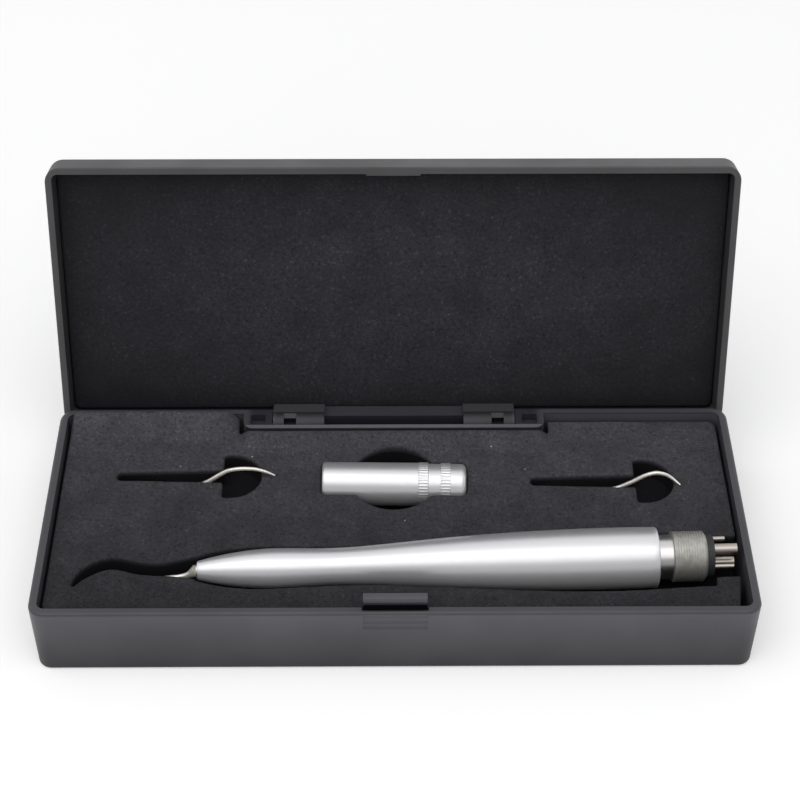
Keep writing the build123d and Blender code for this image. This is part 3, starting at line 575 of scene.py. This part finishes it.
# ---- handpiece ---------------------------------------------------------------------------
# the sleeve's skin from its nose to its tail: (distance, radius), in millimetres
SLEEVE_SKIN = [
    (0.3, 2.73), (3, 3.39), (6, 4.02), (9, 4.54), (12.5, 5.03), (17, 5.46), (21.5, 5.65),
    (27, 5.55), (33.5, 5.3), (41, 5.33), (50, 5.79), (62, 6.70), (74, 7.50), (86, 8.09),
    (98, 8.49), (108, 8.66), (116, 8.70), (122, 8.67), (128.1, 8.56),
]
SLEEVE_END = 128.6
SLEEVE_NOSE = [(0.2, 2.0), (0.0, 2.2), (0.0, 2.42), (0.09, 2.62)]
SLEEVE_TAIL = [(SLEEVE_END - 0.22, 8.49), (SLEEVE_END - 0.05, 8.33), (SLEEVE_END, 8.1)]
SLEEVE_BORES = [
    (SLEEVE_END, 6.6), (74, 6.6), (74, 4.8), (42, 4.8), (42, 3.4), (9, 3.4), (9, 2.0),
]


def sleeve_piece():
    """The hand sleeve: one smooth turned skin with a broken edge at each end."""
    shape = bmesh.new()
    skin = [(point.x, point.y) for point in curve_through(SLEEVE_SKIN, 4)]
    outline = SLEEVE_NOSE + skin + SLEEVE_TAIL + SLEEVE_BORES
    turned(shape, HANDPIECE, outline, segments=128)
    piece = link("sleeve", finished(shape, "sleeve"), "satin_steel", "handpiece")
    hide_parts("handle_sleeve")


THREAD_START = 132.7
THREAD_END = 142.2
THREAD_RADIUS = 7.15
THREAD_CORE = 6.0
THREAD_PITCH = 0.75
THREAD_DEPTH = 0.13
THREAD_ROWS = 64


def thread_relief(along, radius, share):
    """How far the thread's groove lies under its crest at a point of the ring."""
    if radius < THREAD_RADIUS - 0.01:
        return 0
    fade = smooth_step(along, THREAD_START + 0.5, THREAD_START + 1.2)
    fade *= 1 - smooth_step(along, THREAD_END - 1.5, THREAD_END - 0.9)
    phase = (along / THREAD_PITCH - share) % 1
    return fade * THREAD_DEPTH * (1 - abs(2 * phase - 1))


def thread_piece():
    """The ring that the hose nut screws on, with its fine thread."""
    shape = bmesh.new()
    first, last = THREAD_START + 0.25, THREAD_END - 0.85
    step = (last - first) / THREAD_ROWS
    crest = [(first + step * i, THREAD_RADIUS) for i in range(THREAD_ROWS + 1)]
    outline = [(THREAD_START, THREAD_CORE), (THREAD_START, THREAD_RADIUS - 0.25)] + crest
    outline += [(THREAD_END - 0.1, 6.4), (THREAD_END, 6.25), (THREAD_END, THREAD_CORE)]
    turned(shape, HANDPIECE, outline, relief=thread_relief)
    piece = link("threaded_end", finished(shape, "threaded_end", 60), "plated_brass", "handpiece")
    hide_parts("thread_ring")


# ---- tips --------------------------------------------------------------------------------
# centre lines as (along, back, up, radius), in millimetres
FITTED_BLADE = [
    (-0.2, 0, 0, 1.8), (-0.9, 0, -0.5, 1.55), (-1.9, 0, -1.15, 1.15), (-3.2, 0, -1.8, 0.85),
    (-5.2, 0, -2.2, 0.68), (-7.6, 0, -2.35, 0.58), (-10.5, 0, -2.5, 0.45),
    (-14.0, 0.4, -2.75, 0.40), (-17.5, 1.2, -3.0, 0.37), (-23.8, 2.8, -3.35, 0.32),
    (-29.0, 1.4, -3.35, 0.28), (-32.2, -1.5, -3.35, 0.20),
]
LEFT_BLADE = [
    (0.0, 0, 0, 1.0), (2.0, 0, 0.1, 0.95), (4.0, 0, 0.6, 0.85), (8.0, 0, 2.7, 0.72),
    (11.5, 0, 5.5, 0.62), (14.4, 0, 7.4, 0.60), (17.5, 0, 8.1, 0.60), (20.2, 0, 8.15, 0.58),
    (22.5, 0, 7.9, 0.55), (25.3, -0.3, 7.2, 0.45), (28.0, -0.8, 6.2, 0.25),
]
RIGHT_BLADE = [
    (0.0, 0, 0, 1.0), (3.5, 0, 0.0, 0.90), (7.0, 0, 0.4, 0.78), (13.7, 0, 2.2, 0.66),
    (17.9, 0, 4.6, 0.62), (21.9, 0, 7.4, 0.60), (24.8, 0, 8.4, 0.60), (27.1, -0.2, 8.2, 0.56),
    (28.9, -0.6, 7.5, 0.48), (30.6, -1.5, 6.6, 0.36), (31.9, -2.7, 6.1, 0.22),
]
FITTED_STUD = 3.7
STUD_LENGTH = 4.0
STUD_RADIUS = 1.0
HUB_LENGTH = 5.5
HUB_RADIUS = 1.55
HUB_FLAT = 1.2
HUB_COLLAR = 1.0
BLADE_START = HUB_LENGTH - 0.3


def fitted_tip_piece():
    """The tip in the handpiece: a stud in the shaft, a cone at the nose and a drooping blade."""
    shape = bmesh.new()
    stud = [(FITTED_STUD, 0), (FITTED_STUD, STUD_RADIUS), (-0.3, STUD_RADIUS), (-0.3, 0)]
    turned(shape, HANDPIECE, stud, segments=32)
    blade(shape, HANDPIECE, FITTED_BLADE)
    piece = link("fitted_blade", finished(shape, "fitted_blade"), "tip_steel", "handpiece")
    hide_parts("fitted_tip")


def hub_relief(along, radius, share):
    """How far the two spanner flats of a spare tip's hub lie under its round skin."""
    if radius < HUB_RADIUS or not HUB_COLLAR <= along <= HUB_LENGTH - HUB_COLLAR:
        return 0
    sideways = abs(cos(2 * pi * share))
    return radius - min(radius, HUB_FLAT / max(sideways, 0.01))


def spare_tip_piece(name, node, body, points):
    """A spare tip: threaded stud, hub with two flats and an arched blade."""
    low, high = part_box(node)
    radius = HUB_RADIUS * MM
    place = Matrix.Translation((low.x + STUD_LENGTH * MM, high.y - radius, low.z + radius))
    shape = bmesh.new()
    outline = [(-STUD_LENGTH, 0), (-STUD_LENGTH, 0.8), (0.2 - STUD_LENGTH, STUD_RADIUS)]
    outline += [(0, STUD_RADIUS), (0, 1.35), (0.2, HUB_RADIUS)]
    flat_ends = (HUB_COLLAR, HUB_LENGTH - HUB_COLLAR)
    outline += [(flat_ends[0] - 0.02, HUB_RADIUS), (flat_ends[0], HUB_RADIUS)]
    outline += [(flat_ends[1], HUB_RADIUS), (flat_ends[1] + 0.02, HUB_RADIUS)]
    outline += [(HUB_LENGTH - 0.3, HUB_RADIUS), (HUB_LENGTH, 1.2), (HUB_LENGTH, 0)]
    turned(shape, place, outline, segments=64, relief=hub_relief)
    shifted = [(x + BLADE_START, y, z, r) for x, y, z, r in points]
    blade(shape, place, shifted)
    piece = link(name, finished(shape, name), "tip_steel", body)
    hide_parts(node)


# ---- torque wrench -----------------------------------------------------------------------
# distances from the wrench's mouth and radii, in millimetres
WRENCH_HALF = 21.0
BARREL_RADIUS = 6.35
MOUTH_RADIUS = 4.2
MOUTH_DEPTH = 9.9
BEARING_BORE = 3.46
BEARING_END = 19.9
CLUTCH_BORE = 4.6
CAP_RADIUS = 6.1
PLUG_START = 26.4
PLUG_FLOOR = 30.4
PLUG_BORE = 1.56
KNURL_RISE = 0.15
CAP_KNURL_RISE = 0.25
KNURL_COUNT = 44
KNURL_DEPTH = 0.2
KNURL_BANDS = ((28.0, 30.9), (34.5, 37.4))


def knurl_relief(along, radius, share):
    """How deep the knurling lies at a point of the two bands."""
    distance = along + WRENCH_HALF
    for start, end in KNURL_BANDS:
        if radius > CAP_RADIUS + 0.2 and start + 0.1 < distance < end - 0.1:
            phase = (share * KNURL_COUNT) % 1
            return KNURL_DEPTH * (1 - abs(2 * phase - 1))
    return 0


def wrench_pieces():
    """The wrench's barrel and its cap, each turned, with a knurled band."""
    radius, knurl = BARREL_RADIUS, BARREL_RADIUS + KNURL_RISE
    (start, end), (cap_start, cap_end) = KNURL_BANDS
    barrel = rounded((0, radius), (0, 1), (1, 0), 0.85)
    barrel += [(start, radius), (start + 0.05, knurl - 0.05), (start + 0.2, knurl)]
    barrel += [(end - 0.2, knurl), (end - 0.05, knurl - 0.05), (end, radius), (end, CLUTCH_BORE)]
    barrel += [(BEARING_END, CLUTCH_BORE), (BEARING_END, BEARING_BORE)]
    barrel += [(MOUTH_DEPTH, BEARING_BORE), (MOUTH_DEPTH, MOUTH_RADIUS)]
    barrel += [(0.2, MOUTH_RADIUS), (0, MOUTH_RADIUS + 0.15)]
    radius = CAP_RADIUS
    knurl = radius + CAP_KNURL_RISE
    cap = [(PLUG_START, PLUG_BORE), (PLUG_START, CLUTCH_BORE), (end, CLUTCH_BORE)]
    cap += [(end, radius - 0.1), (end + 0.1, radius), (cap_start, radius)]
    cap += [(cap_start + 0.05, knurl - 0.05), (cap_start + 0.2, knurl)]
    cap += [(cap_end - 0.2, knurl), (cap_end - 0.05, knurl - 0.05), (cap_end, radius)]
    cap += rounded((2 * WRENCH_HALF, radius), (1, 0), (0, -1), 1.5, 8)
    cap += [(2 * WRENCH_HALF, 0), (PLUG_FLOOR, 0), (PLUG_FLOOR, PLUG_BORE)]
    rows = (("wrench_barrel", "wrench_sleeve", barrel), ("wrench_cap", "wrench_knob", cap))
    for name, node, outline in rows:
        shape = bmesh.new()
        centred = [(along - WRENCH_HALF, radius) for along, radius in outline]
        turned(shape, WRENCH, centred, segments=4 * KNURL_COUNT, relief=knurl_relief)
        piece = link(name, finished(shape, name), "satin_steel", "wrench")
        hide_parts(node)


# ---- foam --------------------------------------------------------------------------------
FOAM_VOXEL = 0.42 * MM
LID_FOAM_VOXEL = 0.7 * MM
FOAM_SMOOTHING = 4
FOAM_WAVE = 0.12 * MM
FOAM_RIPPLE = 14 * MM
LID_FOAM_RIPPLE = 20 * MM
FOAM_SOFT_DEPTH = 6 * MM
FOAM_SLOPE = 9 * MM
BULGE_START = (-97 * MM, -95 * MM)
BULGE_END = (-50 * MM, -44 * MM)
BULGE_HEIGHT = 4.9 * MM
HINGE_RISE = 2.1 * MM
HINGE_RISE_END = (43 * MM, 47 * MM)
HINGE_BOX_DEPTH = 5.8 * MM


def foam_lift(x, y, back):
    """How far the insert's top stands up at a spot, from how it was pushed into the case."""
    bulge = smooth_step(x, *BULGE_START) * (1 - smooth_step(x, *BULGE_END))
    bulge *= BULGE_HEIGHT * smooth_step(y, back - FOAM_SLOPE, back - 0.5 * MM)
    at_hinge = 1 - smooth_step(abs(x), *HINGE_RISE_END)
    front = back - HINGE_BOX_DEPTH
    at_hinge *= HINGE_RISE * smooth_step(y, front - FOAM_SLOPE, front - 1 * MM)
    return max(bulge, at_hinge)


def base_foam_piece():
    """The insert in the base: soft cut edges, a slightly uneven top, riding up at the back."""
    low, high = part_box("base_foam")
    mesh = remeshed(nodes["base_foam"].data.copy(), FOAM_VOXEL)
    for vertex in mesh.vertices:
        point = vertex.co
        depth = smooth_step(point.z, high.z - FOAM_SOFT_DEPTH, high.z)
        if depth > 0:
            wave = noise.noise(Vector((point.x, point.y, 0)) / FOAM_RIPPLE) * FOAM_WAVE
            point.z += depth * (wave + foam_lift(point.x, point.y, high.y))
    piece = link("foam_insert", mesh, "base_foam", "case")
    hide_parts("base_foam")


def lid_foam_piece():
    """The thin sheet glued into the lid, rebuilt flat, where even voxels fit it."""
    hinge = joints["lid_hinge"]
    shut = radians(hinge["range_deg"][0])
    turn = Matrix.Rotation(shut, 4, Vector(hinge["axis"]))
    close = Matrix.Translation(HINGE_AT) @ turn @ Matrix.Translation(-HINGE_AT)
    mesh = nodes["lid_foam"].data.copy()
    mesh.transform(close)
    mesh = remeshed(mesh, LID_FOAM_VOXEL)
    for vertex in mesh.vertices:
        point = vertex.co
        point.z += noise.noise(Vector((point.x, point.y, 3)) / LID_FOAM_RIPPLE) * FOAM_WAVE
    mesh.transform(close.inverted())
    piece = link("lid_lining", mesh, "lid_foam", "lid")
    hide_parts("lid_foam")


# ---- surroundings -------------------------------------------------------------------------
FLOOR_REACH = 6.0
LAMP_AT = Vector((-0.15, -0.42, 1.25))
LAMP_SIZE = (1.7, 1.2)
LAMP_WATTS = 8.4


def seen_share(tree):
    """1 on rays from the camera, a reflection or a transmission, and 0 on rays that only light."""
    path = tree.nodes.new("ShaderNodeLightPath")
    kinds = ("Is Camera Ray", "Is Glossy Ray", "Is Transmission Ray")
    return largest(tree, *[path.outputs[kind] for kind in kinds])


def studio():
    """A plain pale floor in a pale room."""
    mesh = bpy.data.meshes.new("floor")
    size = FLOOR_REACH
    corners = [(-size, -size, 0), (size, -size, 0), (size, size, 0), (-size, size, 0)]
    mesh.from_pydata(corners, [], [(0, 1, 2, 3)])
    floor = bpy.data.objects.new("floor", mesh)
    scene.collection.objects.link(floor)
    material, tree, shader = new_material("floor_white", FLOOR, 0.8)
    shader.inputs["Specular IOR Level"].default_value = 0.1
    shader.inputs["Emission Color"].default_value = (1, 1, 1, 1)
    glow = tree.nodes.new("ShaderNodeMath")
    glow.operation = "MULTIPLY"
    glow.inputs[1].default_value = FLOOR_GLOW
    tree.links.new(seen_share(tree), glow.inputs[0])
    tree.links.new(glow.outputs[0], shader.inputs["Emission Strength"])
    mesh.materials.append(material)

    world = bpy.data.worlds.new("room")
    scene.world = world
    world.use_nodes = True
    tree = world.node_tree
    tree.nodes.clear()
    output = tree.nodes.new("ShaderNodeOutputWorld")
    light = add(tree, "ShaderNodeBackground", Color=(1, 1, 1, 1))
    seen = add(tree, "ShaderNodeBackground", Color=(1, 1, 1, 1))
    # the room is seen pale behind the object and grey behind the camera, but most of its light
    # comes from behind the camera
    place = tree.nodes.new("ShaderNodeTexCoord")
    depth = xyz(tree, place.outputs["Generated"])["Y"]
    tree.links.new(ranged(tree, depth, 0.42, 1.0, -0.5, 0.1), seen.inputs["Strength"])
    tree.links.new(ranged(tree, depth, 0.85, 0.3, -0.6, 0.5), light.inputs["Strength"])
    mix = tree.nodes.new("ShaderNodeMixShader")
    tree.links.new(seen_share(tree), mix.inputs[0])
    tree.links.new(light.outputs[0], mix.inputs[1])
    tree.links.new(seen.outputs[0], mix.inputs[2])
    tree.links.new(mix.outputs[0], output.inputs["Surface"])


def softbox():
    """One large rectangular lamp, high up and a little in front, that faces the case."""
    data = bpy.data.lights.new("overhead", "AREA")
    data.shape = "RECTANGLE"
    data.size = LAMP_SIZE[0]
    data.size_y = LAMP_SIZE[1]
    data.energy = LAMP_WATTS
    lamp = bpy.data.objects.new("overhead", data)
    scene.collection.objects.link(lamp)
    lamp.location = LAMP_AT
    lamp.rotation_euler = (-LAMP_AT).to_track_quat("-Z", "Y").to_euler()


def camera():
    """The camera looks down on the front of the open case."""
    data = bpy.data.cameras.new("camera")
    data.lens = CAMERA_LENS
    data.sensor_width = SENSOR_WIDTH
    data.clip_start = 0.01
    forward = Vector(
        (
            sin(CAMERA_YAW) * cos(CAMERA_PITCH),
            cos(CAMERA_YAW) * cos(CAMERA_PITCH),
            -sin(CAMERA_PITCH),
        )
    )
    level = Vector((cos(CAMERA_YAW), -sin(CAMERA_YAW), 0))
    rise = level.cross(forward)
    right = level * cos(CAMERA_ROLL) + rise * sin(CAMERA_ROLL)
    up = rise * cos(CAMERA_ROLL) - level * sin(CAMERA_ROLL)
    turn = Matrix((right, up, -forward)).transposed().to_4x4()
    eye = bpy.data.objects.new("camera", data)
    scene.collection.objects.link(eye)
    eye.matrix_world = Matrix.Translation(CAMERA_AT) @ turn
    scene.camera = eye


scene.view_settings.view_transform = "Standard"
camera()
studio()
softbox()
dress_nodes()
sleeve_piece()
thread_piece()
fitted_tip_piece()
spare_tip_piece("left_blade", "spare_tip_left", "left_tip", LEFT_BLADE)
spare_tip_piece("right_blade", "spare_tip_right", "right_tip", RIGHT_BLADE)
wrench_pieces()
base_foam_piece()
lid_foam_piece()
